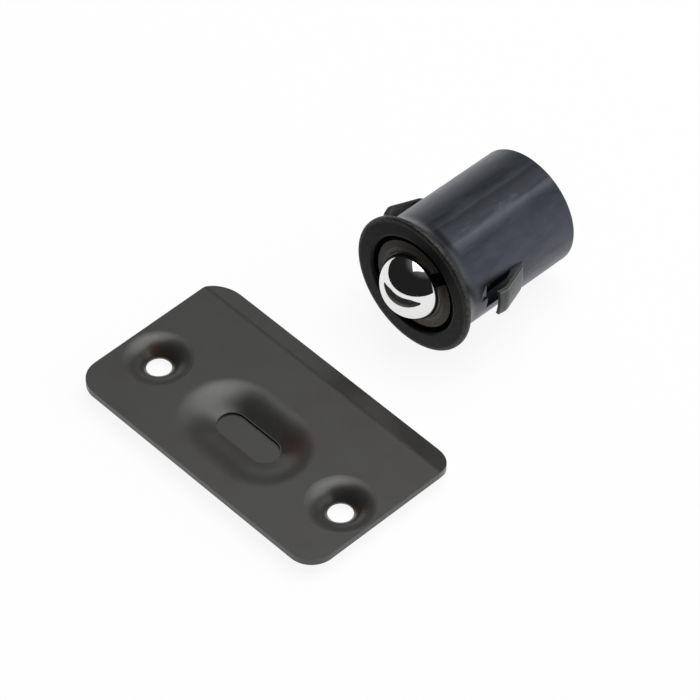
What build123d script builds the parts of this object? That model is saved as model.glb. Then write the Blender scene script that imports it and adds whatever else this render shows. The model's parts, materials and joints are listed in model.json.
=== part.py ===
"""Ball catch: a drive-in spring ball barrel and its strike plate, in millimetres, +Z up."""
import os
from math import acos, atan2, cos, degrees, hypot, pi, radians, sin, sqrt, tan
from build123d import *

# Strike plate: pressed sheet; its own frame has the screw holes on X and the top face at z = 0
plate_length = 57.15
plate_t = 1.30
near_edge = 13.0
bend_y = 16.6
lip_length = 4.1
lip_angle = 20.0
bend_r = 1.0
near_corner_r = 4.6
far_corner_r = 4.7

# Dish that takes the ball, with its flat-bottomed pocket
pocket_length = 13.0
pocket_width = 5.2
pocket_depth = 2.38
pocket_step = 0.42
pocket_ledge = 0.15
pocket_wall = 0.75
foot_round = 0.4
dish_length = 26.0
dish_width = 17.6
dish_shift_y = -0.6
dish_offset = 0.5
# Dish profile from its top edge to the ledge: share of the depth, share of the way inward
dish_profile = ((0, 0), (0.02, 0.12), (0.10, 0.28), (0.30, 0.50), (0.56, 0.70), (0.80, 0.86), (1, 1))

# Screw dimples: pressed countersinks with a wide soft rim, thinned at the hole's edge
screw_edge = 6.60
screw_hole_r = 2.20
hole_land = 0.40
hole_flare = 45.0
dimple_depth = 2.30
dimple_half_angle = 34.0
dimple_rim_round = 4.4
dimple_wall = 0.75
dimple_floor_t = 0.75
dimple_neck_round = 2.0

# Ball and the running gap round it
ball_r = 6.35
ball_gap = 0.05

# Adjusting sleeve: holds the ball and its spring, and screws into the case. Barrel pieces have
# their own frame on the tube's axis, with z = 0 at the rim's widest plane and z to the rear
sleeve_face = 0.0
sleeve_wall = 2.30
sleeve_length = 15.35
sleeve_floor = 1.4
sleeve_bevel = 0.3
collar_step = 0.38
collar_length = 0.75
collar_bevel = 0.22
thread_length = 9.45
thread_clearance = 0.05
shank_step = 0.50
lip_rise = 0.15
lip_hold = 0.95
lip_width = 0.76
lip_land = 0.33
lip_crest = 0.06
lip_bevel = 0.12
slot_width = 2.4
slot_depth = 1.6
slot_turn = -42.5

# Barrel case: drawn tube with a threaded land inside and a flared, rounded flange
nut_wall = 2.13
nut_end = 5.0
mouth_step = 0.40
mouth_depth = 1.80
mouth_round = 0.60
tube_wall = 0.60
case_length = 27.85
rear_round = 0.25
flange_overhang = 1.82
rim_r = 0.50
rim_t = 0.95
rim_back_round = 0.40
flare_angle = 45.0
flare_fillet = 4.0

# Barbs lanced out of the tube wall, right and left, and the dents of the punch before them
barb_root = 15.1
window_length = 8.55
barb_width = 5.2
barb_gap = 0.10
barb_fold_length = 1.1
barb_tip_gap = 0.25
barb_tip_length = 1.7
root_soft = 0.15
fold_soft = 0.25
bend_soft = 0.6
# Each barb's lift from the tube at its fold, at its bend and at its tip
right_barb = (1.05, 2.85, 2.60)
left_barb = (1.50, 3.75, 3.05)
barb_turn = -1.3
dent_length = 1.8
dent_width = 3.3
dent_depth = 0.45
dent_side = 0.1

# Spring between the ball and the sleeve's floor
wire_r = 0.425
spring_side_gap = 0.775
spring_turns = 4.0
end_turns = 0.9
end_pitch = 0.88
pitch_change = 0.12
spring_gap = 0.02
coil_steps = 14

# How the two halves stand on the ground
catch_side = 1.4
catch_gap = 16.15
catch_yaw = 1.7

# How far a cutter or a joined form runs past the face it starts from
overrun = 0.05

stand_h = max(pocket_depth + plate_t, dimple_depth + dimple_floor_t)
lip_tip_y = bend_y + lip_length * cos(radians(lip_angle))
ball_bore_r = ball_r + ball_gap
thread_crest_r = ball_bore_r + sleeve_wall
nut_bore_r = thread_crest_r + thread_clearance
tube_r = nut_bore_r + nut_wall
bore_r = tube_r - tube_wall
flange_r = tube_r + flange_overhang
rim_seat = rim_t - rim_r - rim_back_round * tan(radians(flare_angle / 2))
lip_front = sleeve_face - lip_rise
ball_centre = lip_front + lip_hold
lip_r = sqrt(ball_bore_r ** 2 - lip_hold ** 2)
floor_z = sleeve_face + sleeve_length - sleeve_floor
window_front = barb_root - window_length
barb_tip = window_front + barb_tip_gap
barb_bend = barb_tip + barb_tip_length
barb_fold = barb_root - barb_fold_length
spring_mean_r = ball_bore_r - spring_side_gap - wire_r


def corner(shape, x, y):
    """Vertex of a flat face that lies nearest to a point."""
    return shape.vertices().sort_by_distance((x, y, 0))[0]


def turned(points):
    """Face of a half section given by its corners, to be filleted and revolved."""
    return make_face(Polyline(*points, close=True))


def slot_section(length, width, z, shift_y):
    """Round-ended outline at height z."""
    return Location((0, shift_y, z)) * SlotOverall(length, width)


def dish_form(grow, drop):
    """Smooth loft from the dish's soft top edge down to the ledge round the pocket."""
    shoulder = pocket_depth - pocket_step
    end_length = pocket_length + 2 * pocket_ledge
    end_width = pocket_width + 2 * pocket_ledge
    sections = []
    for down, inward in dish_profile:
        length = dish_length + (end_length - dish_length) * inward + grow
        width = dish_width + (end_width - dish_width) * inward + grow
        sections.append(slot_section(length, width, -shoulder * down - drop, dish_shift_y * (1 - inward)))
    return loft(sections)


def pocket_form(grow, top, bottom):
    """Straight-walled oblong between two heights."""
    return extrude(slot_section(pocket_length + grow, pocket_width + grow, bottom, 0), amount=top - bottom)


def dimple_hollow():
    """Countersink with a soft rim, from the top face down to the hole."""
    top_r = screw_hole_r + dimple_depth * tan(radians(dimple_half_angle))
    reach = top_r + dimple_rim_round
    face = turned([(0, plate_t), (reach, plate_t), (reach, 0), (top_r, 0),
                   (screw_hole_r, -dimple_depth), (0, -dimple_depth)])
    face = fillet(corner(face, top_r, 0), dimple_rim_round)
    return revolve(Plane.XZ * face, Axis.Z)


def screw_hole():
    """Round hole: a short straight land, opening out below it."""
    land_end = -dimple_depth - hole_land
    low = -dimple_depth - dimple_floor_t - overrun
    low_r = screw_hole_r + (land_end - low) * tan(radians(hole_flare))
    face = turned([(0, plate_t), (screw_hole_r, plate_t), (screw_hole_r, land_end), (low_r, low), (0, low)])
    return revolve(Plane.XZ * face, Axis.Z)


def dimple_bulge():
    """Metal pressed out below the plate round one countersink."""
    low_r = screw_hole_r + dimple_wall
    low = -dimple_depth - dimple_floor_t
    top_r = low_r + (-plate_t - low) * tan(radians(dimple_half_angle))
    reach = top_r + dimple_neck_round
    inside = -plate_t / 2
    face = turned([(0, inside), (reach, inside), (reach, -plate_t), (top_r, -plate_t),
                   (low_r, low), (0, low)])
    face = fillet(corner(face, top_r, -plate_t), dimple_neck_round)
    face = fillet(corner(face, low_r, low), foot_round)
    return revolve(Plane.XZ * face, Axis.Z)


def plate_bar():
    """Square-ended sheet with its lip bent down along the far side."""
    c, s = cos(radians(lip_angle)), sin(radians(lip_angle))
    tip_z = -lip_length * s
    under_y = bend_y - plate_t * tan(radians(lip_angle / 2))
    tip_under = (lip_tip_y - plate_t * s, tip_z - plate_t * c)
    face = turned([(-near_edge, 0), (bend_y, 0), (lip_tip_y, tip_z), tip_under,
                   (under_y, -plate_t), (-near_edge, -plate_t)])
    face = fillet(corner(face, bend_y, 0), bend_r + plate_t)
    face = fillet(corner(face, under_y, -plate_t), bend_r)
    return extrude(Plane.YZ * face, amount=plate_length / 2, both=True)


def plate_outline():
    """Upright prism over the plate's rounded outline."""
    depth = near_edge + lip_tip_y
    plan = Rectangle(plate_length, depth, align=(Align.CENTER, Align.MIN))
    plan = fillet(plan.vertices().group_by(Axis.Y)[0], near_corner_r)
    far = [corner(plan, side * plate_length / 2, depth) for side in (-1, 1)]
    plan = fillet(far, far_corner_r)
    return extrude(Location((0, -near_edge, -2 * stand_h)) * plan, amount=4 * stand_h)


def make_strike():
    """Strike plate: bent sheet, pressed dish with its pocket, and two countersunk dimples."""
    hole_x = plate_length / 2 - screw_edge
    sides = [Location((side * hole_x, 0, 0)) for side in (-1, 1)]
    foot = pocket_form(2 * pocket_wall, -plate_t, -pocket_depth - plate_t)
    foot = fillet(foot.edges().group_by(Axis.Z)[0], foot_round)
    pressed = dish_form(dish_offset, plate_t) + foot
    for here in sides:
        pressed += here * dimple_bulge()
    body = (plate_bar() + pressed) & plate_outline()
    body -= dish_form(0, 0)
    body -= pocket_form(0, -plate_t / 2, -pocket_depth)
    for here in sides:
        body -= here * dimple_hollow()
        body -= here * screw_hole()
    return Location((0, 0, stand_h)) * body


def case_shell():
    """Turned form of the case: flange, flare, tube, threaded land and wide rear bore."""
    rim_back = rim_t - rim_r
    flare_z = rim_back + flange_overhang / tan(radians(flare_angle))
    mouth_r = nut_bore_r + mouth_step
    face = turned([(mouth_r, -rim_r), (flange_r, -rim_r), (flange_r, rim_back), (tube_r, flare_z),
                   (tube_r, case_length), (bore_r, case_length), (bore_r, nut_end + bore_r - nut_bore_r),
                   (nut_bore_r, nut_end), (nut_bore_r, mouth_depth + mouth_step), (mouth_r, mouth_depth)])
    face = fillet(corner(face, tube_r, flare_z), flare_fillet)
    face = fillet(corner(face, flange_r, -rim_r), rim_r)
    face = fillet(corner(face, flange_r, rim_back), rim_back_round)
    face = fillet(corner(face, mouth_r, -rim_r), mouth_round)
    face = fillet(corner(face, tube_r, case_length), rear_round)
    return revolve(Plane.XZ * face, Axis.Z)


def ramp(u, half):
    """Ramp that starts at u = 0 and bends over softly within twice the half width."""
    if u <= 0:
        return 0.0
    if u < 2 * half:
        return u * u / (4 * half)
    return u - half


def barb_lift(z, at_fold, at_bend, at_tip):
    """How far the barb stands out from the tube at a place along it."""
    steep = at_fold / (barb_fold_length - root_soft)
    out = (at_bend - at_fold) / (barb_fold - barb_bend)
    back = (at_bend - at_tip) / (barb_bend - barb_tip)
    lift = steep * ramp(barb_root - z, root_soft)
    lift -= (steep - out) * ramp(barb_fold + fold_soft - z, fold_soft)
    return lift - (out + back) * ramp(barb_bend + bend_soft - z, bend_soft)


def barb_section(z, lift):
    """Curved strip of the tube wall, moved out by the barb's lift."""
    ring = Circle(tube_r) - Circle(bore_r)
    strip = ring & Location((tube_r, 0, 0)) * Rectangle(tube_r, barb_width - 2 * barb_gap)
    return Location((lift, 0, z)) * strip


def make_barb(lifts):
    """Barb on the +X side: folds out of the wall at its rear end, runs out, then bends back."""
    stops = [barb_root - k * root_soft for k in (0, 1, 2)]
    stops += [barb_fold - k * fold_soft for k in (-1, 0, 1)]
    stops += [barb_bend - k * bend_soft for k in (-1, -0.5, 0, 0.5, 1)] + [barb_tip]
    sections = [barb_section(z, barb_lift(z, *lifts)) for z in stops]
    return loft(sections, ruled=True)


def window_hollow():
    """Opening that the barb leaves in the wall on the +X side."""
    return Location((tube_r, 0, window_front + window_length / 2)) * Box(tube_r, barb_width, window_length)


def dent_hollow(start_r, deep_r):
    """Sloping dent in front of the window, between the radius it starts from and its deep end."""
    front = window_front - dent_length
    back = window_front + overrun
    face = turned([(start_r + overrun, front), (start_r + overrun, back), (deep_r, back)])
    return Location((0, dent_side, 0)) * extrude(Plane.XZ * face, amount=dent_width)


def make_case():
    """Case with two windows, two barbs and two dents, half a turn apart."""
    body = case_shell()
    for turn, lifts in ((0, right_barb), (180, left_barb)):
        here = Rot(0, 0, barb_turn + turn)
        body += here * dent_hollow(bore_r, bore_r - dent_depth)
        body -= here * window_hollow()
        body -= here * dent_hollow(tube_r, tube_r - dent_depth)
        body += here * make_barb(lifts)
    return body


def lip_middle():
    """Middle point of the round seat under the lip."""
    a = atan2(lip_hold, lip_r) / 2
    return (ball_bore_r * cos(a), ball_centre - ball_bore_r * sin(a))


def make_sleeve():
    """Cup that holds the ball under its rolled lip; slotted face, threaded outside."""
    collar_r = thread_crest_r - collar_step
    collar_end = sleeve_face + collar_length
    shank_r = thread_crest_r - shank_step
    thread_end = sleeve_face + thread_length
    sleeve_end = sleeve_face + sleeve_length
    face_r = lip_r + lip_width
    outline = [
        Polyline((lip_r, lip_front), (lip_r + lip_land, lip_front - lip_crest),
                 (face_r - lip_bevel, sleeve_face + lip_bevel), (face_r, sleeve_face),
                 (collar_r - collar_bevel, sleeve_face), (collar_r, sleeve_face + collar_bevel),
                 (collar_r, collar_end), (thread_crest_r, collar_end + collar_step),
                 (thread_crest_r, thread_end), (shank_r, thread_end + shank_step),
                 (shank_r, sleeve_end - sleeve_bevel), (shank_r - sleeve_bevel, sleeve_end),
                 (0, sleeve_end), (0, floor_z), (ball_bore_r, floor_z), (ball_bore_r, ball_centre)),
        ThreePointArc((ball_bore_r, ball_centre), lip_middle(), (lip_r, lip_front))]
    body = revolve(Plane.XZ * make_face(outline), Axis.Z)
    slot = Location((0, 0, sleeve_face)) * Box(2 * nut_bore_r, slot_width, 2 * slot_depth)
    return body - Rot(0, 0, slot_turn) * slot


def spring_start():
    """Place on the axis where the first coil's wire rests against the ball."""
    reach = ball_r + wire_r + spring_gap
    return ball_centre + sqrt(reach ** 2 - spring_mean_r ** 2)


def coil_height(turn):
    """Distance along the spring after a number of turns: closed ends, open middle."""
    total = floor_z - wire_r - spring_gap - spring_start()
    open_pitch = (total - 2 * end_turns * end_pitch) / (spring_turns - 2 * end_turns)
    first = ramp(turn - end_turns + pitch_change, pitch_change)
    last = ramp(turn - (spring_turns - end_turns) + pitch_change, pitch_change)
    return end_pitch * turn + (open_pitch - end_pitch) * (first - last)


def make_spring():
    """Round-wire compression spring between the ball and the sleeve's floor."""
    count = int(spring_turns * coil_steps)
    points = []
    for i in range(count + 1):
        turn = spring_turns * i / count
        a = 2 * pi * turn
        points.append((spring_mean_r * cos(a), spring_mean_r * sin(a), spring_start() + coil_height(turn)))
    path = Spline(*points)
    section = Plane(origin=path @ 0, z_dir=path % 0) * Circle(wire_r)
    return sweep(section, path=path, is_frenet=True)


def make_ball():
    """Hardened ball, resting under the sleeve's lip."""
    return Location((0, 0, ball_centre)) * Sphere(ball_r)


def stand_tilt():
    """Angle at which the barrel lies on the back of its rim and on its rear edge."""
    across = (flange_r - rim_back_round) - (tube_r - rear_round)
    along = (case_length - rear_round) - rim_seat
    return degrees(acos((rear_round - rim_back_round) / hypot(across, along)) - atan2(along, across))


def barrel_place():
    """Place of the barrel's frame on the ground: its z runs rearward, its x to the right barb."""
    tilt, yaw = radians(stand_tilt()), radians(catch_yaw)
    height = (flange_r - rim_back_round) * cos(tilt) + rim_seat * sin(tilt) + rim_back_round
    axis = (-sin(yaw) * cos(tilt), cos(yaw) * cos(tilt), -sin(tilt))
    origin = (catch_side, lip_tip_y + catch_gap, height)
    return Location(Plane(origin=origin, x_dir=(cos(yaw), sin(yaw), 0), z_dir=axis))


def make_parts():
    """Every piece at its place, with the strike plate's holes at the origin."""
    place = barrel_place()
    return {
        "strike_plate": make_strike(),
        "case": place * make_case(),
        "adjusting_sleeve": place * make_sleeve(),
        "spring": place * make_spring(),
        "ball": place * make_ball()}


def centre_shift(parts):
    """Move that centres the whole set over the origin and stands it on z = 0."""
    box = Compound(children=[Part(part.wrapped) for part in parts.values()]).bounding_box()
    return Location((-(box.min.X + box.max.X) / 2, -(box.min.Y + box.max.Y) / 2, -box.min.Z))


def main():
    os.makedirs("parts", exist_ok=True)
    parts = make_parts()
    shift = centre_shift(parts)
    for name, part in parts.items():
        export_step(shift * part, "parts/" + name + ".step")


if __name__ == "__main__":
    main()
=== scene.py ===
import json
from math import cos, pi, radians, sin

import bmesh
import bpy
import numpy as np
from mathutils import Matrix, Vector

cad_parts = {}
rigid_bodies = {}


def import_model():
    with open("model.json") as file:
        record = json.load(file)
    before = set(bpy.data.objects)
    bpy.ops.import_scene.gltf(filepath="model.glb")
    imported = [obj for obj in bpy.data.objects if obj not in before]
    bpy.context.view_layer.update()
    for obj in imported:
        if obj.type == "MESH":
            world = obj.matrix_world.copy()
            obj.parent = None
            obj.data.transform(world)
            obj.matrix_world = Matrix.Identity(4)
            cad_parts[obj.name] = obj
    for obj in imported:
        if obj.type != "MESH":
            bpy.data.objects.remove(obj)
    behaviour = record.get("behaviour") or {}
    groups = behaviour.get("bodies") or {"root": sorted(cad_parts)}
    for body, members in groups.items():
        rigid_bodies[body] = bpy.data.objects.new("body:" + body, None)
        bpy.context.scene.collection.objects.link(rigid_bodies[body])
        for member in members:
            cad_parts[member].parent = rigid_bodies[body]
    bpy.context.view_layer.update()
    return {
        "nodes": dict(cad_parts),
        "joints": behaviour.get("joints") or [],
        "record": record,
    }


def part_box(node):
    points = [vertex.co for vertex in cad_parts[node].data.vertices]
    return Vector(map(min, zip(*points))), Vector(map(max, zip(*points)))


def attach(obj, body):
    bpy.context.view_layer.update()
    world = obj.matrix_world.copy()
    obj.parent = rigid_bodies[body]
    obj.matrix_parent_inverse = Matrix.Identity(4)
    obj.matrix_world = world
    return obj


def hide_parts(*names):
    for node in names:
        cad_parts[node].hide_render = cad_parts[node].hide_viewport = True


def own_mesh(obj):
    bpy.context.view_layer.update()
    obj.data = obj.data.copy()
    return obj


bl_info = {
    "name": "Ball catch",
    "version": (1, 0, 0),
    "blender": (4, 5, 0),
    "location": "3D View > Sidebar > Ball catch",
    "description": "Finishes and fine pieces of a drive-in ball catch with its strike plate",
    "category": "Object",
}

# The start-up scene's own objects are cleared away before the frame is loaded.
for leftover in list(bpy.data.objects):
    bpy.data.objects.remove(leftover)
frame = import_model()

MM = 0.001
BALL_LOW, BALL_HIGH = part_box("ball")
BALL_CENTRE = (BALL_LOW + BALL_HIGH) / 2
BALL_RADIUS = (BALL_HIGH.z - BALL_LOW.z) / 2
TURN = next(joint for joint in frame["joints"] if joint["name"] == "sleeve_turn")
SCREWS = next(mount for mount in frame["record"]["mounts"] if mount["name"] == "strike_screws")
# The Mix node gives its sockets one name for every kind of data, so they are taken by number.
MIX_NUMBERS = (2, 3)
MIX_COLOURS = (6, 7)
MIX_COLOUR_OUT = 2


class CatchSizes(bpy.types.PropertyGroup):
    """Sizes of the sleeve that screws into the case, in metres."""
    face_depth: bpy.props.FloatProperty(
        name="Face depth", description="From the rim's widest plane back to the sleeve's face",
        default=0.0, unit="LENGTH", precision=5)
    crest_radius: bpy.props.FloatProperty(
        name="Thread crest radius", description="Outer radius of the sleeve's thread",
        default=8.70 * MM, unit="LENGTH", precision=5)
    thread_pitch: bpy.props.FloatProperty(
        name="Thread pitch", description="Distance from one thread crest to the next",
        default=25.4 / 24 * MM, unit="LENGTH", precision=5)
    thread_depth: bpy.props.FloatProperty(
        name="Thread depth", description="From the thread's crest down to its root",
        default=0.50 * MM, unit="LENGTH", precision=5)
    thread_start: bpy.props.FloatProperty(
        name="Thread start", description="Where the thread reaches its full depth, behind the rim plane",
        default=2.15 * MM, unit="LENGTH", precision=5)
    thread_end: bpy.props.FloatProperty(
        name="Thread end", description="Where the thread runs out into the shank, behind the rim plane",
        default=9.45 * MM, unit="LENGTH", precision=5)
    shank_radius: bpy.props.FloatProperty(
        name="Shank radius", description="Plain radius behind the thread",
        default=8.20 * MM, unit="LENGTH", precision=5)
    sleeve_end: bpy.props.FloatProperty(
        name="Sleeve end", description="Rear face of the sleeve, behind the rim plane",
        default=15.35 * MM, unit="LENGTH", precision=5)
    floor_thickness: bpy.props.FloatProperty(
        name="Floor thickness", description="Wall that closes the sleeve behind the spring",
        default=1.40 * MM, unit="LENGTH", precision=5)
    collar_radius: bpy.props.FloatProperty(
        name="Collar radius", description="Plain collar in front of the thread",
        default=8.32 * MM, unit="LENGTH", precision=5)
    bore_gap: bpy.props.FloatProperty(
        name="Bore gap", description="Running gap between the ball and the sleeve's bore",
        default=0.05 * MM, unit="LENGTH", precision=5)
    lip_rise: bpy.props.FloatProperty(
        name="Lip rise", description="How far the rolled lip stands in front of the face",
        default=0.15 * MM, unit="LENGTH", precision=5)
    slot_width: bpy.props.FloatProperty(
        name="Slot width", description="Width of the screwdriver slot",
        default=2.40 * MM, unit="LENGTH", precision=5)
    slot_depth: bpy.props.FloatProperty(
        name="Slot depth", description="Depth of the screwdriver slot below the face",
        default=1.60 * MM, unit="LENGTH", precision=5)
    slot_turn: bpy.props.FloatProperty(
        name="Slot turn", description="Turn of the slot about the barrel's axis",
        default=radians(-42.5), subtype="ANGLE")


class CatchFinishes(bpy.types.PropertyGroup):
    """Colours of the five finishes."""
    plate: bpy.props.FloatVectorProperty(
        name="Plate", description="Dark bronze of the strike plate",
        default=(0.066, 0.065, 0.062), subtype="COLOR", size=3, min=0, max=1)
    plate_dark: bpy.props.FloatVectorProperty(
        name="Plate, worn darker", description="Darker brown where the bronze is thin",
        default=(0.053, 0.049, 0.044), subtype="COLOR", size=3, min=0, max=1)
    # This colour is also used for the painted brown shade on the dish.
    rust_and_shade: bpy.props.FloatVectorProperty(
        name="Rust", description="Reddish brown tint round the holes",
        default=(0.110, 0.045, 0.022), subtype="COLOR", size=3, min=0, max=1)
    case: bpy.props.FloatVectorProperty(
        name="Case", description="Bluish grey of the barrel's tube",
        default=(0.080, 0.089, 0.105), subtype="COLOR", size=3, min=0, max=1)
    # Darker tone for the cloudy patches and for the painted dark reflection along the tube.
    case_dark_and_reflection: bpy.props.FloatVectorProperty(
        name="Case, darker", description="Darker streaks along the tube",
        default=(0.030, 0.033, 0.039), subtype="COLOR", size=3, min=0, max=1)
    flange: bpy.props.FloatVectorProperty(
        name="Flange", description="Near black of the flange's face",
        default=(0.006, 0.006, 0.0055), subtype="COLOR", size=3, min=0, max=1)
    rim: bpy.props.FloatVectorProperty(
        name="Rim", description="Paler grain round the flange's outer edge",
        default=(0.075, 0.076, 0.070), subtype="COLOR", size=3, min=0, max=1)
    sleeve: bpy.props.FloatVectorProperty(
        name="Sleeve", description="Brown bronze of the adjusting sleeve",
        default=(0.060, 0.050, 0.038), subtype="COLOR", size=3, min=0, max=1)
    ball: bpy.props.FloatVectorProperty(
        name="Ball", description="Polished steel of the ball",
        default=(0.80, 0.80, 0.79), subtype="COLOR", size=3, min=0, max=1)
    wire: bpy.props.FloatVectorProperty(
        name="Spring wire", description="Drawn steel of the spring",
        default=(0.45, 0.45, 0.46), subtype="COLOR", size=3, min=0, max=1)


class CatchStage(bpy.types.PropertyGroup):
    """Camera and light of the stage."""
    aim: bpy.props.FloatVectorProperty(
        name="Aim", description="Point in the middle of the picture",
        default=(4.54 * MM, -7.225 * MM, 12.39 * MM), subtype="TRANSLATION", size=3, precision=5)
    azimuth: bpy.props.FloatProperty(
        name="Azimuth", description="Camera's turn round the object; 0 looks along +Y",
        default=radians(46.17), subtype="ANGLE")
    elevation: bpy.props.FloatProperty(
        name="Elevation", description="Camera's height above the horizon",
        default=radians(48.15), subtype="ANGLE")
    distance: bpy.props.FloatProperty(
        name="Distance", description="From the camera to the aim", default=0.7496, unit="LENGTH")
    focal_share: bpy.props.FloatProperty(
        name="Focal length over picture width", description="Focal length as a share of the picture's width",
        default=4551 / 700)
    softbox_height: bpy.props.FloatProperty(
        name="Softbox height", description="Height of the overhead softbox", default=1.60, unit="LENGTH")
    softbox_power: bpy.props.FloatProperty(
        name="Softbox power", description="Power of the overhead softbox", default=12.0, unit="POWER")
    core_power: bpy.props.FloatProperty(
        name="Softbox core power", description="Power of the brighter patch in the softbox",
        default=1.6, unit="POWER")


def barrel_matrix():
    """The barrel's own frame: origin on its axis in the rim's widest plane, z along the axis to the rear,
    x level across it towards the right barb, and y the cross product of z and x."""
    sizes = bpy.context.scene.catch_sizes
    axis = Vector(TURN["axis"]).normalized()
    across = axis.cross(Vector((0, 0, 1))).normalized()
    origin = Vector(TURN["pos_m"]) - axis * sizes.face_depth
    turned = Matrix((across, axis.cross(across), axis)).transposed().to_4x4()
    return Matrix.Translation(origin) @ turned


def moved(points, matrix):
    """Points turned and then shifted by a matrix, which takes them from one frame to another."""
    m = np.array(matrix)
    return points @ m[:3, :3].T + m[:3, 3]


def joined(parts):
    """One list of points and one of faces from several: each part's faces count on from the parts before."""
    points, faces, start = [], [], 0
    for some_points, some_faces in parts:
        points.append(some_points)
        faces += [tuple(int(i) + start for i in face) for face in some_faces]
        start += len(some_points)
    return np.concatenate(points), faces


def grid_faces(rows, columns):
    """Quads of a grid of points numbered row by row, whose rows close on themselves."""
    i, j = np.arange(rows - 1)[:, None], np.arange(columns)[None, :]
    j_next = (j + 1) % columns
    corners = [i * columns + j, (i + 1) * columns + j, (i + 1) * columns + j_next, i * columns + j_next]
    return np.stack([c + 0 * (i + j) for c in corners], axis=-1).reshape(-1, 4)


def put_piece(name, points, faces, material, body, node, angle):
    """Mesh object of these points and faces that stands for a node. Its faces are turned outwards, and it
    is shaded smooth where two of them meet at less than the angle in degrees."""
    mesh = bpy.data.meshes.new(name)
    mesh.from_pydata(points.tolist(), [], [tuple(map(int, face)) for face in faces])
    mesh.validate()
    skin = bmesh.new()
    skin.from_mesh(mesh)
    bmesh.ops.recalc_face_normals(skin, faces=skin.faces)
    skin.to_mesh(mesh)
    skin.free()
    mesh.materials.append(material)
    mesh.shade_smooth()
    mesh.set_sharp_from_angle(angle=radians(angle))
    piece = bpy.data.objects.new(name, mesh)
    bpy.context.scene.collection.objects.link(piece)
    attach(piece, body)
    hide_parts(node)
    return piece


def merged_copy(mesh):
    """Points and faces of a mesh, with its points in the same place made one; the mesh stays as it is."""
    same_place = 0.0001 * MM
    copy = bpy.data.meshes.new("merged")
    skin = bmesh.new()
    skin.from_mesh(mesh)
    bmesh.ops.remove_doubles(skin, verts=skin.verts, dist=same_place)
    skin.to_mesh(copy)
    skin.free()
    points = np.empty(3 * len(copy.vertices), dtype=np.float32)
    copy.vertices.foreach_get("co", points)
    faces = [tuple(face.vertices) for face in copy.polygons]
    bpy.data.meshes.remove(copy)
    return points.reshape(-1, 3), faces


class Shades:
    """Short way to put nodes into one tree and to join them."""

    def __init__(self, tree):
        self.tree = tree
        self.tree.nodes.clear()

    def put(self, socket, value):
        """A value or a link into a socket."""
        if isinstance(value, bpy.types.NodeSocket):
            self.tree.links.new(value, socket)
        else:
            socket.default_value = value

    def add(self, kind, inputs=None, **settings):
        """One node, with its settings, and its inputs as values or links."""
        node = self.tree.nodes.new(kind)
        for key, value in settings.items():
            setattr(node, key, value)
        for key, value in (inputs or {}).items():
            self.put(node.inputs[key], value)
        return node

    def math(self, operation, first, second=0.0):
        """One arithmetic step."""
        return self.add("ShaderNodeMath", {0: first, 1: second}, operation=operation).outputs[0]

    def dot(self, place, way):
        """How far a place lies along a direction: their dot product."""
        node = self.add("ShaderNodeVectorMath", {0: place, 1: way}, operation="DOT_PRODUCT")
        return node.outputs["Value"]

    def radius(self, xyz):
        """Distance of a separated place from the z axis: the root of x squared plus y squared."""
        squares = [self.math("POWER", xyz.outputs[key], 2.0) for key in ("X", "Y")]
        return self.math("SQRT", self.math("ADD", *squares))

    def ramp(self, value, low, high, to_low=0.0, to_high=1.0):
        """Smooth step from one level to another as the value goes from low to high."""
        return self.add("ShaderNodeMapRange", {
            "Value": value, "From Min": low, "From Max": high, "To Min": to_low, "To Max": to_high},
            interpolation_type="SMOOTHSTEP").outputs["Result"]

    def mix(self, share, first, second):
        """Colour between two others: the first where the share is 0 and the second where it is 1."""
        inputs = {"Factor": share}
        for key, colour in zip(MIX_COLOURS, (first, second)):
            inputs[key] = colour if isinstance(colour, bpy.types.NodeSocket) else (*colour, 1.0)
        return self.add("ShaderNodeMix", inputs, data_type="RGBA").outputs[MIX_COLOUR_OUT]


class SurfaceShades(Shades):
    """Nodes of one material: its surface with the output, and the place on the object to work from."""

    def __init__(self, name):
        self.material = bpy.data.materials.new(name)
        self.material.use_nodes = True
        super().__init__(self.material.node_tree)
        self.surface = self.add("ShaderNodeBsdfPrincipled")
        self.add("ShaderNodeOutputMaterial", {"Surface": self.surface.outputs[0]})
        self.object_place = self.add("ShaderNodeTexCoord").outputs["Object"]

    def finish(self, **values):
        """The material, with values or links in the surface's inputs; spaces are written as underscores."""
        for key, value in values.items():
            self.put(self.surface.inputs[key.replace("_", " ")], value)
        return self.material

    def placed(self, matrix, stretch=(1, 1, 1)):
        """Object coordinates in the frame that the matrix gives, stretched along its axes."""
        local = self.add("ShaderNodeMapping", {
            "Vector": self.object_place, "Location": matrix.to_translation(), "Rotation": matrix.to_euler()},
            vector_type="TEXTURE").outputs[0]
        stretched = self.add("ShaderNodeMapping", {"Vector": local, "Scale": stretch}, vector_type="POINT")
        return stretched.outputs[0]

    def noise(self, vector, size, detail=2.0, roughness=0.5):
        """Cloudy noise with features of a size in metres."""
        return self.add("ShaderNodeTexNoise", {
            "Vector": vector, "Scale": 1 / size, "Detail": detail, "Roughness": roughness}).outputs["Fac"]

    def near(self, point, reach):
        """1 at a point and 0 from a distance on."""
        away = self.add("ShaderNodeVectorMath", {0: self.object_place, 1: point}, operation="DISTANCE")
        return self.ramp(away.outputs["Value"], 0.0, reach, to_low=1.0, to_high=0.0)

    def bump(self, height, strength, distance, normal=None):
        """Normal of a surface raised by a height pattern, on top of another normal if one is given."""
        inputs = {"Height": height, "Strength": strength, "Distance": distance}
        if normal is not None:
            inputs["Normal"] = normal
        return self.add("ShaderNodeBump", inputs).outputs[0]


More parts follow.
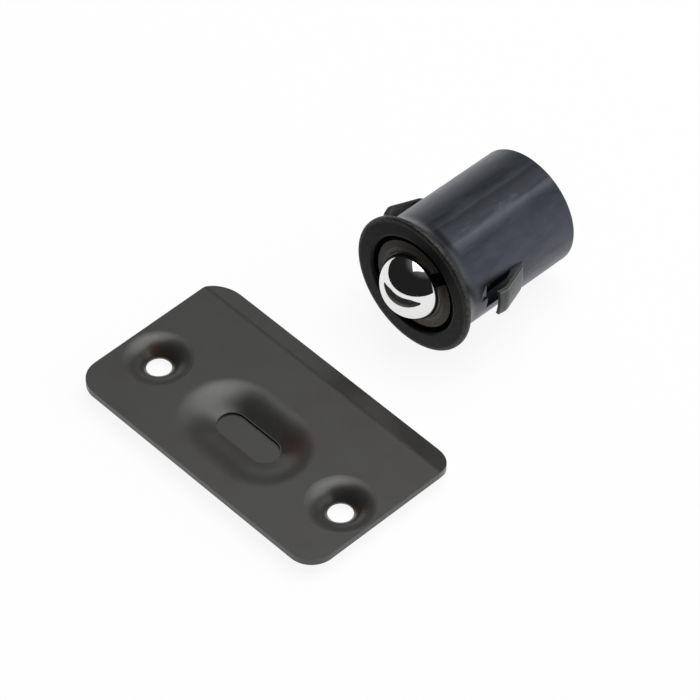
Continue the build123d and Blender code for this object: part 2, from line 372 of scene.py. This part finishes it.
def plate_finish():
    """Satin dark bronze with faint clouds, fine grain, rusty tints by the holes, and a reddish-brown painted
    shade on the dish's far right wall.
    """
    colours = bpy.context.scene.catch_finishes
    s = SurfaceShades("plate_bronze")
    clouds = s.ramp(s.noise(s.object_place, size=9 * MM, detail=3.0), 0.40, 0.72, to_high=0.5)
    colour = s.mix(clouds, colours.plate, colours.plate_dark)
    middle, half = Vector(SCREWS["pos_m"]), SCREWS["dims"]["spacing_x_mm"] / 2 * MM
    by_left_hole = middle + Vector((-half - 2.0 * MM, 1.6 * MM, 0.9 * MM))
    by_right_hole = middle + Vector((half + 2.4 * MM, 2.0 * MM, 1.0 * MM))
    # The patches by the holes are rusty tints; the one on the dish is painted brown shade on its far right
    # wall.
    dish_shade = middle + Vector((8.2 * MM, 3.6 * MM, 1.5 * MM))
    rust_and_shade = ((by_left_hole, 2.4 * MM, 0.9), (by_right_hole, 2.6 * MM, 0.7), (dish_shade, 4.5 * MM, 0.55))
    grain = s.noise(s.object_place, size=0.55 * MM, detail=4.0, roughness=0.7)
    for point, reach, strength in rust_and_shade:
        patch = s.math("MULTIPLY", s.near(point, reach), s.ramp(grain, 0.35, 0.62, to_low=0.25))
        colour = s.mix(s.math("MULTIPLY", patch, strength), colour, colours.rust_and_shade)
    fine = s.noise(s.object_place, size=0.12 * MM, detail=3.0, roughness=0.6)
    rough = s.ramp(grain, 0.3, 0.7, to_low=0.31, to_high=0.38)
    normal = s.bump(fine, strength=0.02, distance=0.02 * MM)
    swell = s.noise(s.object_place, size=1.4 * MM, detail=2.0)
    normal = s.bump(swell, strength=0.05, distance=0.06 * MM, normal=normal)
    return s.finish(Base_Color=colour, Roughness=rough, Normal=normal, Metallic=0.3, Specular_IOR_Level=0.8)


def case_finish():
    """Blued tube with cloudy tone and a painted dark reflection along it, a matte black flange with a paler
    rim, and bare edges on the barbs.
    """
    colours = bpy.context.scene.catch_finishes
    # Where a finish fades in, from and to: behind the rim plane, out from the axis, beside a barb's middle.
    tube_start, barb_start = (0.3 * MM, 1.6 * MM), (5.0 * MM, 5.4 * MM)
    rim_start, tube_outside = (11.7 * MM, 12.3 * MM), (11.0 * MM, 11.2 * MM)
    barb_side = (2.40 * MM, 2.55 * MM)
    # Turn about the axis at which the painted dark reflection runs along the tube.
    reflection_turn = radians(-75)
    bare_share, bare_metal = 0.8, tuple(2 * c for c in colours.rim)
    s = SurfaceShades("case_steel")
    local = s.placed(barrel_matrix())
    drawn = s.placed(barrel_matrix(), stretch=(1, 1, 0.10))
    cloudy = s.placed(barrel_matrix(), stretch=(1, 1, 0.35))
    clouds = s.ramp(s.noise(cloudy, size=3.2 * MM, detail=5.0, roughness=0.6), 0.38, 0.75, to_high=0.55)
    xyz = s.add("ShaderNodeSeparateXYZ", {0: local})
    radius = s.radius(xyz)
    # Over the radius, this is the cosine of the turn away from the line of the painted dark reflection, and
    # 1 on the line.
    facing = s.dot(local, Vector((cos(reflection_turn), sin(reflection_turn), 0)))
    # Painted dark reflection: a darker band along the tube at one fixed turn, broken up by noise.
    dark_reflection = s.ramp(s.math("DIVIDE", facing, radius), 0.978, 0.999, to_high=1.3)
    broken = s.ramp(s.noise(cloudy, size=2.2 * MM, detail=4.0, roughness=0.7), 0.25, 0.60, to_low=0.35)
    tone_and_reflection = s.math("ADD", clouds, s.math("MULTIPLY", dark_reflection, broken))
    along, aside = xyz.outputs["Z"], s.math("ABSOLUTE", xyz.outputs["Y"])
    grain = s.noise(local, size=0.45 * MM, detail=4.0, roughness=0.7)
    tube = s.ramp(along, *tube_start)
    colour = s.mix(tube, colours.flange, s.mix(tone_and_reflection, colours.case, colours.case_dark_and_reflection))
    band = s.math("MULTIPLY", s.ramp(radius, *rim_start), s.ramp(grain, 0.35, 0.6, to_low=0.35))
    colour = s.mix(band, colour, colours.rim)
    outside = s.math("MULTIPLY", s.ramp(radius, *tube_outside), s.ramp(along, *barb_start))
    bare = s.math("MULTIPLY", s.ramp(aside, *barb_side), outside)
    colour = s.mix(s.math("MULTIPLY", bare, bare_share), colour, bare_metal)
    fine = s.noise(local, size=0.14 * MM, detail=3.0, roughness=0.6)
    marks = s.noise(drawn, size=0.5 * MM, detail=3.0, roughness=0.7)
    rough = s.ramp(marks, 0.3, 0.7, to_low=0.30, to_high=0.42)
    rough = s.math("ADD", rough, s.ramp(tube, 0.0, 1.0, to_low=0.16, to_high=0.0))
    normal = s.bump(fine, strength=0.15, distance=0.02 * MM)
    normal = s.bump(marks, strength=0.06, distance=0.03 * MM, normal=normal)
    coarse = s.ramp(tube, 0.0, 1.0, to_low=0.30, to_high=0.04)
    normal = s.bump(grain, strength=coarse, distance=0.05 * MM, normal=normal)
    return s.finish(Base_Color=colour, Roughness=rough, Normal=normal, Metallic=0.8)


def sleeve_finish():
    """Brown bronze with turning marks round the axis, a paler lip, and painted shade on the sleeve behind
    its face, inside the case.
    """
    colours = bpy.context.scene.catch_finishes
    lip_edge, thread_start = (6.8 * MM, 7.2 * MM), (0.8 * MM, 1.2 * MM)
    dark = tuple(0.25 * c for c in colours.sleeve)
    bright = tuple(2.2 * c for c in colours.sleeve)
    s = SurfaceShades("sleeve_bronze")
    local = s.placed(barrel_matrix())
    xyz = s.add("ShaderNodeSeparateXYZ", {0: local})
    radius = s.radius(xyz)
    rings = s.add("ShaderNodeCombineXYZ", {"X": radius, "Y": xyz.outputs["Z"]}).outputs[0]
    turning = s.noise(rings, size=0.16 * MM, detail=3.0, roughness=0.7)
    grain = s.noise(local, size=0.30 * MM, detail=4.0, roughness=0.7)
    colour = s.mix(s.ramp(grain, 0.35, 0.68), colours.sleeve, dark)
    lip = s.ramp(radius, *lip_edge, to_low=0.35, to_high=0.0)
    colour = s.mix(s.math("ADD", lip, s.ramp(turning, 0.52, 0.75, to_high=0.5)), colour, bright)
    # Painted shade: from just behind the face on, the sleeve is darkened where it lies in the case's shadow.
    colour = s.mix(s.ramp(xyz.outputs["Z"], *thread_start, to_high=0.8), colour, dark)
    normal = s.bump(turning, strength=0.35, distance=0.03 * MM)
    normal = s.bump(grain, strength=0.35, distance=0.05 * MM, normal=normal)
    rough = s.ramp(grain, 0.3, 0.7, to_low=0.40, to_high=0.56)
    return s.finish(Base_Color=colour, Roughness=rough, Normal=normal, Metallic=0.7)


def ball_finish():
    """Polished steel with very faint smears."""
    colours = bpy.context.scene.catch_finishes
    s = SurfaceShades("ball_chrome")
    smear = s.noise(s.object_place, size=2.5 * MM, detail=4.0, roughness=0.6)
    dust = s.noise(s.object_place, size=0.20 * MM, detail=2.0, roughness=0.6)
    rough = s.ramp(smear, 0.35, 0.75, to_low=0.02, to_high=0.09)
    normal = s.bump(dust, strength=0.05, distance=0.01 * MM)
    return s.finish(Base_Color=(*colours.ball, 1.0), Roughness=rough, Normal=normal, Metallic=1.0)


def wire_finish():
    """Drawn steel wire."""
    colours = bpy.context.scene.catch_finishes
    s = SurfaceShades("spring_steel")
    marks = s.noise(s.object_place, size=0.3 * MM, detail=3.0, roughness=0.6)
    rough = s.ramp(marks, 0.3, 0.7, to_low=0.25, to_high=0.40)
    normal = s.bump(marks, strength=0.1, distance=0.02 * MM)
    return s.finish(Base_Color=(*colours.wire, 1.0), Roughness=rough, Normal=normal, Metallic=1.0)


def revolved(profile, count, shape=None):
    """Closed skin of revolution about z: every profile point goes round at its radius and height, and
    the first and last points, on the axis, become poles. shape(angle, height) adds to the radius."""
    radius, height = np.array(profile[1:-1]).T
    angle = 2 * pi * np.arange(count) / count
    r = radius[:, None] + (shape(angle[None, :], height[:, None]) if shape else 0 * angle[None, :])
    z = height[:, None] + 0 * angle[None, :]
    points = np.stack([r * np.cos(angle), r * np.sin(angle), z], axis=-1).reshape(-1, 3)
    poles = np.array([[0, 0, profile[0][1]], [0, 0, profile[-1][1]]])
    faces = [tuple(face) for face in grid_faces(len(radius), count)]
    first, last, row = len(points), len(points) + 1, (len(radius) - 1) * count
    faces += [(first, j, (j + 1) % count) for j in range(count)]
    faces += [(last, row + (j + 1) % count, row + j) for j in range(count)]
    return np.concatenate([points, poles]), faces


def half_ring(profile, gap, count, turn):
    """Closed block of a ring cut off by a plane beside the axis: each point of the closed profile goes
    round from arcsin(gap / radius) to half a turn less the same, so both ends lie in that plane."""
    radius, height = np.array(profile).T
    start = np.arcsin(gap / radius)
    share = np.linspace(0, 1, count)[:, None]
    angle = start + share * (pi - 2 * start) + turn
    points = np.stack([radius * np.cos(angle), radius * np.sin(angle), height + 0 * angle], axis=-1)
    faces = [tuple(face) for face in grid_faces(count, len(radius))]
    near_end = range(len(radius))
    far_end = range((count - 1) * len(radius), count * len(radius))
    return points.reshape(-1, 3), faces + [tuple(near_end), tuple(reversed(far_end))]


def arc(centre, radius, start, end, count):
    """Points on an arc in the profile's plane: the centre plus the radius times the cosine and the sine
    of angles in even steps, in radians."""
    angle = np.linspace(start, end, count)
    return [(centre[0] + radius * cos(a), centre[1] + radius * sin(a)) for a in angle]


class CATCH_OT_plate(bpy.types.Operator):
    """Gives the strike plate its dark bronze finish"""
    bl_idname = "catch.plate"
    bl_label = "Strike plate"

    def execute(self, context):
        frame["nodes"]["strike_plate"].material_slots[0].material = plate_finish()
        return {"FINISHED"}


class CATCH_OT_case(bpy.types.Operator):
    """Gives the barrel's case its blued finish"""
    bl_idname = "catch.case"
    bl_label = "Case"

    def execute(self, context):
        frame["nodes"]["case"].material_slots[0].material = case_finish()
        return {"FINISHED"}


class CATCH_OT_sleeve(bpy.types.Operator):
    """Makes the adjusting sleeve with its cut thread, rolled lip and screwdriver slot"""
    bl_idname = "catch.sleeve"
    bl_label = "Adjusting sleeve"

    def execute(self, context):
        sizes = context.scene.catch_sizes
        bore = BALL_RADIUS + sizes.bore_gap
        split = sizes.face_depth + sizes.slot_depth
        bevel, clearance = 0.3 * MM, 0.01 * MM
        flank_slope, root_flat = 1.35, 0.12
        thread_rows, columns, half_columns = 150, 180, 120

        def thread(angle, height):
            """Down from the crest by a triangle wave of the height in pitches less the angle in turns, cut
            off at flat crests and roots, and faded in and out."""
            turns = height / sizes.thread_pitch - angle / (2 * pi)
            wave = np.abs(2 * (turns - np.floor(turns)) - 1)
            flank = np.clip(wave * flank_slope - root_flat, 0, 1)
            fade_in = np.clip((height - split) / (sizes.thread_start - split), 0, 1)
            fade_out = np.clip((sizes.thread_end - height) / sizes.thread_pitch, 0, 1)
            on_thread = (height > split) & (height < sizes.thread_end)
            return -sizes.thread_depth * (1 - flank) * fade_in * fade_out * on_thread

        heights = np.linspace(split + clearance, sizes.thread_end - clearance, thread_rows)
        outside = [(sizes.crest_radius, height) for height in heights]
        shank_start = sizes.thread_end + (sizes.crest_radius - sizes.shank_radius)
        floor = sizes.sleeve_end - sizes.floor_thickness
        profile = [(0, floor), (bore, floor), (bore, split), (sizes.crest_radius, split)] + outside
        profile += [(sizes.crest_radius, sizes.thread_end), (sizes.shank_radius, shank_start),
                    (sizes.shank_radius, sizes.sleeve_end - bevel),
                    (sizes.shank_radius - bevel, sizes.sleeve_end), (0, sizes.sleeve_end)]
        parts = [revolved(profile, columns, thread)]
        ring = self.ring_profile(sizes, bore, split)
        for turn in (0, pi):
            parts.append(half_ring(ring, sizes.slot_width / 2, half_columns, sizes.slot_turn + turn))
        points, faces = joined(parts)
        put_piece("adjusting_sleeve_cut", moved(points, barrel_matrix()), faces, sleeve_finish(),
                  "sleeve", "adjusting_sleeve", angle=35)
        return {"FINISHED"}

    def ring_profile(self, sizes, bore, split):
        """Closed half section in front of the slot's floor: seat, lip, face and collar. The seat is an arc
        of the bore's radius about the ball's centre, which ends in the plane of the lip's front."""
        front = sizes.face_depth - sizes.lip_rise
        centre = (barrel_matrix().inverted() @ BALL_CENTRE).z
        seat_end = -np.arcsin((centre - front) / bore)
        seat = arc((0, centre), bore, 0, seat_end, count=10)
        edge = seat[-1][0]
        # Outline of the lip in mm: out from the seat's edge, and back from the lip's front or the face.
        rolled = ((0.06, -0.03), (0.33, -0.06), (0.52, -0.01), (0.64, 0.10))
        onto_face = ((0.70, -0.02), (0.78, 0.0))
        lip = [(edge + out * MM, front + back * MM) for out, back in rolled]
        lip += [(edge + out * MM, sizes.face_depth + back * MM) for out, back in onto_face]
        soft, collar_length = 0.12 * MM, 0.75 * MM
        corner = arc((sizes.collar_radius - soft, sizes.face_depth + soft), soft, -pi / 2, 0, count=5)
        collar_end = sizes.face_depth + collar_length
        step = sizes.crest_radius - sizes.collar_radius
        rear = [(sizes.collar_radius, collar_end), (sizes.crest_radius, collar_end + step),
                (sizes.crest_radius, split)]
        return [(bore, split)] + seat + lip + corner + rear


class CATCH_OT_ball(bpy.types.Operator):
    """Makes the polished ball"""
    bl_idname = "catch.ball"
    bl_label = "Ball"

    def execute(self, context):
        rows, columns = 121, 240
        tilt = np.linspace(-pi / 2, pi / 2, rows)
        profile = [(BALL_RADIUS * cos(t), BALL_RADIUS * sin(t)) for t in tilt]
        points, faces = revolved(profile, columns)
        matrix = Matrix.Translation(BALL_CENTRE) @ barrel_matrix().to_3x3().to_4x4()
        put_piece("ball_polished", moved(points, matrix), faces, ball_finish(),
                  "ball", "ball", angle=60)
        return {"FINISHED"}


class CATCH_OT_spring(bpy.types.Operator):
    """Makes the spring from the part's mesh, with points in the same place merged, as a mesh of its own"""
    bl_idname = "catch.spring"
    bl_label = "Spring"

    def execute(self, context):
        points, faces = merged_copy(frame["nodes"]["spring"].data)
        coil = put_piece("spring_coil", points, faces, wire_finish(),
                         "cartridge", "spring", angle=60)
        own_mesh(coil)
        return {"FINISHED"}


class CATCH_OT_stage(bpy.types.Operator):
    """Makes the floor, the lights and the camera"""
    bl_idname = "catch.stage"
    bl_label = "Stage"

    def execute(self, context):
        stage = context.scene.catch_stage
        self.make_camera(context, stage)
        self.make_floor(context)
        self.make_lights(context, stage)
        self.make_world(context)
        context.scene.view_settings.view_transform = "Standard"
        return {"FINISHED"}

    def make_camera(self, context, stage):
        """Camera at the photograph's azimuth, elevation, distance and focal length."""
        a, e = stage.azimuth, stage.elevation
        back = Vector((sin(a) * cos(e), -cos(a) * cos(e), sin(e)))
        data = bpy.data.cameras.new("camera")
        data.sensor_width = 36
        data.lens = stage.focal_share * data.sensor_width
        data.clip_start, data.clip_end = 0.01, 20
        camera = bpy.data.objects.new("camera", data)
        camera.location = Vector(stage.aim) + back * stage.distance
        camera.rotation_euler = back.to_track_quat("Z", "Y").to_euler()
        context.scene.collection.objects.link(camera)
        context.scene.camera = camera

    def make_floor(self, context):
        """White floor: nearly without shadow to the camera and in reflections, and plain pale to all other
        light. Where it is seen it gives light of its own and its grey is darker, so a faint shadow stays."""
        reach = 3.0
        light_of_its_own, grey, grey_where_seen = 0.90, (0.82, 0.82, 0.82), (0.15, 0.15, 0.15)
        mesh = bpy.data.meshes.new("floor")
        mesh.from_pydata([(-reach, -reach, 0), (reach, -reach, 0), (reach, reach, 0), (-reach, reach, 0)],
                         [], [(0, 1, 2, 3)])
        material = bpy.data.materials.new("floor_white")
        material.use_nodes = True
        s = Shades(material.node_tree)
        path = s.add("ShaderNodeLightPath").outputs
        seen = s.math("MAXIMUM", path["Is Camera Ray"], path["Is Glossy Ray"])
        seen = s.math("MAXIMUM", seen, path["Is Transmission Ray"])
        strength = s.math("MULTIPLY", seen, light_of_its_own)
        lift = s.add("ShaderNodeEmission", {"Color": (1, 1, 1, 1), "Strength": strength})
        matte = s.add("ShaderNodeBsdfDiffuse", {"Color": s.mix(seen, grey, grey_where_seen)})
        both = s.add("ShaderNodeAddShader", {0: matte.outputs[0], 1: lift.outputs[0]})
        s.add("ShaderNodeOutputMaterial", {"Surface": both.outputs[0]})
        mesh.materials.append(material)
        floor = bpy.data.objects.new("floor", mesh)
        context.scene.collection.objects.link(floor)

    def make_lights(self, context, stage):
        """Large softbox overhead with a brighter patch in it, both lined up with the camera. Place and size
        are shares of the softbox's height."""
        box_place, box_size = (0.083, 0.419, 1.0), (1.16, 0.86)
        core_place, core_size = (-0.144, 0.139, 0.99), (0.40, 0.50)
        for name, place, size, power in (("softbox", box_place, box_size, stage.softbox_power),
                                         ("softbox_core", core_place, core_size, stage.core_power)):
            data = bpy.data.lights.new(name, "AREA")
            data.shape = "RECTANGLE"
            data.size, data.size_y = size[0] * stage.softbox_height, size[1] * stage.softbox_height
            data.energy = power
            light = bpy.data.objects.new(name, data)
            light.location = Vector(place) * stage.softbox_height
            light.rotation_euler = (0, 0, stage.azimuth)
            context.scene.collection.objects.link(light)

    def make_world(self, context):
        """White tent low round the rear half, dark above and in front of it, a glow round the softbox, and
        plain white to the camera. The tent begins where the way back is more than the way up times its
        lean, and it fades with height and on its far side. A pair is where a smooth step starts and ends."""
        tent_lean, lean_to_side = 0.405, -0.263
        tent_edge, tent_level = (0.01, 0.07), 0.85
        up_and_back, tent_top, top_loss = Vector((-0.15, 0.50, 1.0)), (0.68, 0.84), 0.95
        far_side, far_edge, far_loss = Vector((-0.50, 0.86, 0.0)), (0.75, 0.95), 0.35
        softbox_way = Vector((0.01, 0.44, 1.0)).normalized()
        wide_glow, wide_level = (0.60, 0.92), 0.12
        near_glow, near_level = (0.85, 0.96), 0.80
        dark_level = 0.016
        world = bpy.data.worlds.new("studio")
        world.use_nodes = True
        s = Shades(world.node_tree)
        way = s.add("ShaderNodeTexCoord").outputs["Generated"]
        xyz = s.add("ShaderNodeSeparateXYZ", {0: way}).outputs
        lean = s.math("ADD", tent_lean, s.math("MULTIPLY", xyz["X"], lean_to_side))
        behind = s.math("SUBTRACT", xyz["Y"], s.math("MULTIPLY", xyz["Z"], lean))
        low = s.math("SUBTRACT", 1.0, s.ramp(s.dot(way, up_and_back), *tent_top, to_high=top_loss))
        far = s.ramp(s.dot(way, far_side), *far_edge, to_high=far_loss)
        low = s.math("MULTIPLY", low, s.math("SUBTRACT", 1.0, far))
        tent = s.math("MULTIPLY", s.ramp(behind, *tent_edge, to_high=tent_level), low)
        toward_box = s.dot(way, softbox_way)
        glow = s.math("ADD", s.ramp(toward_box, *wide_glow, to_high=wide_level),
                      s.ramp(toward_box, *near_glow, to_high=near_level))
        level = s.math("ADD", s.math("MAXIMUM", tent, glow), dark_level)
        seen = s.add("ShaderNodeLightPath").outputs["Is Camera Ray"]
        first, second = MIX_NUMBERS
        strength = s.add("ShaderNodeMix", {0: seen, first: level, second: 1.0}).outputs[0]
        shine = s.add("ShaderNodeBackground", {"Color": (1, 1, 1, 1), "Strength": strength})
        s.add("ShaderNodeOutputWorld", {"Surface": shine.outputs[0]})
        context.scene.world = world


class CATCH_PT_panel(bpy.types.Panel):
    """Lists the pieces of the ball catch"""
    bl_idname = "CATCH_PT_panel"
    bl_label = "Ball catch"
    bl_space_type = "VIEW_3D"
    bl_region_type = "UI"
    bl_category = "Ball catch"

    def draw(self, context):
        column = self.layout.column(align=True)
        for operator in OPERATORS:
            column.operator(operator.bl_idname)
        for name in ("catch_sizes", "catch_finishes", "catch_stage"):
            group = getattr(context.scene, name)
            box = self.layout.box()
            for prop in group.bl_rna.properties:
                if prop.identifier not in {"rna_type", "name"}:
                    box.prop(group, prop.identifier)


OPERATORS = (CATCH_OT_plate, CATCH_OT_case, CATCH_OT_sleeve, CATCH_OT_ball, CATCH_OT_spring, CATCH_OT_stage)
GROUPS = (("catch_sizes", CatchSizes), ("catch_finishes", CatchFinishes), ("catch_stage", CatchStage))


def register():
    """Adds the sizes, finishes and stage to the scene, and the operators and the panel to Blender."""
    for name, group in GROUPS:
        bpy.utils.register_class(group)
        setattr(bpy.types.Scene, name, bpy.props.PointerProperty(type=group))
    for operator in OPERATORS:
        bpy.utils.register_class(operator)
    bpy.utils.register_class(CATCH_PT_panel)


def unregister():
    """Takes back what register adds, in the other order."""
    bpy.utils.unregister_class(CATCH_PT_panel)
    for operator in reversed(OPERATORS):
        bpy.utils.unregister_class(operator)
    for name, group in reversed(GROUPS):
        delattr(bpy.types.Scene, name)
        bpy.utils.unregister_class(group)


def main():
    """Makes every piece and the stage in order."""
    register()
    bpy.ops.catch.plate()
    bpy.ops.catch.case()
    bpy.ops.catch.sleeve()
    bpy.ops.catch.ball()
    bpy.ops.catch.spring()
    bpy.ops.catch.stage()


if __name__ == "__main__":
    main()
